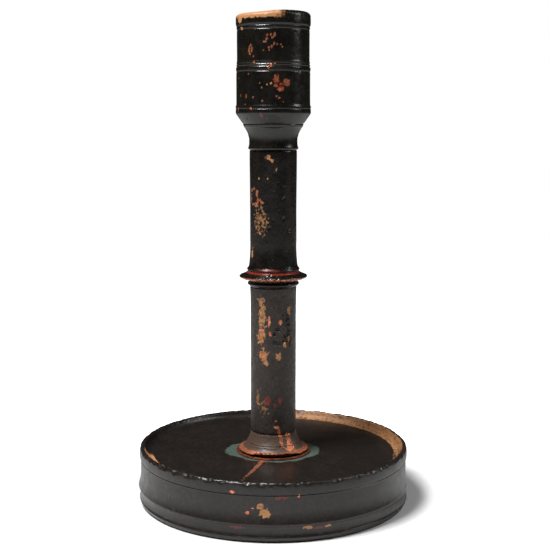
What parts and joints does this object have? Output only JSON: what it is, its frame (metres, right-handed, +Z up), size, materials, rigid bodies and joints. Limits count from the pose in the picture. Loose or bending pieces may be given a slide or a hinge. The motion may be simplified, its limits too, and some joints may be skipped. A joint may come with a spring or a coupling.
{
  "type": "candlestick",
  "caption": "Cast candlestick: a hollow drum base with a shallow drip pan, a round stem with a turned middle ring, and a cylindrical socket for a candle.",
  "frame": {"origin": "middle of the face that the base rests on", "axes": "+Z up the stem's axis towards the candle, +X along the wedge under the base, -Y towards the pictured side"},
  "size_m": [0.1468, 0.1468, 0.26],
  "materials": {
    "pan_bronze": "dark brown patina, satin, worn at the edges",
    "seat_copper": "bare copper, worn, with green corrosion",
    "stem_bronze": "dull brown patina with casting flaws",
    "dark_bronze": "near-black glossy patina",
    "socket_bronze": "near-black glossy patina with red specks",
    "wrought_iron": "forged, browned"
  },
  "bodies": {
    "root": {"drum_base": "pan_bronze", "seat_ring": "seat_copper", "lower_stem": "stem_bronze", "mid_ring": "dark_bronze", "upper_stem": "dark_bronze", "candle_socket": "socket_bronze", "tie_rod": "wrought_iron", "rove": "wrought_iron", "forelock_wedge": "wrought_iron"}
  },
  "joints": []
}
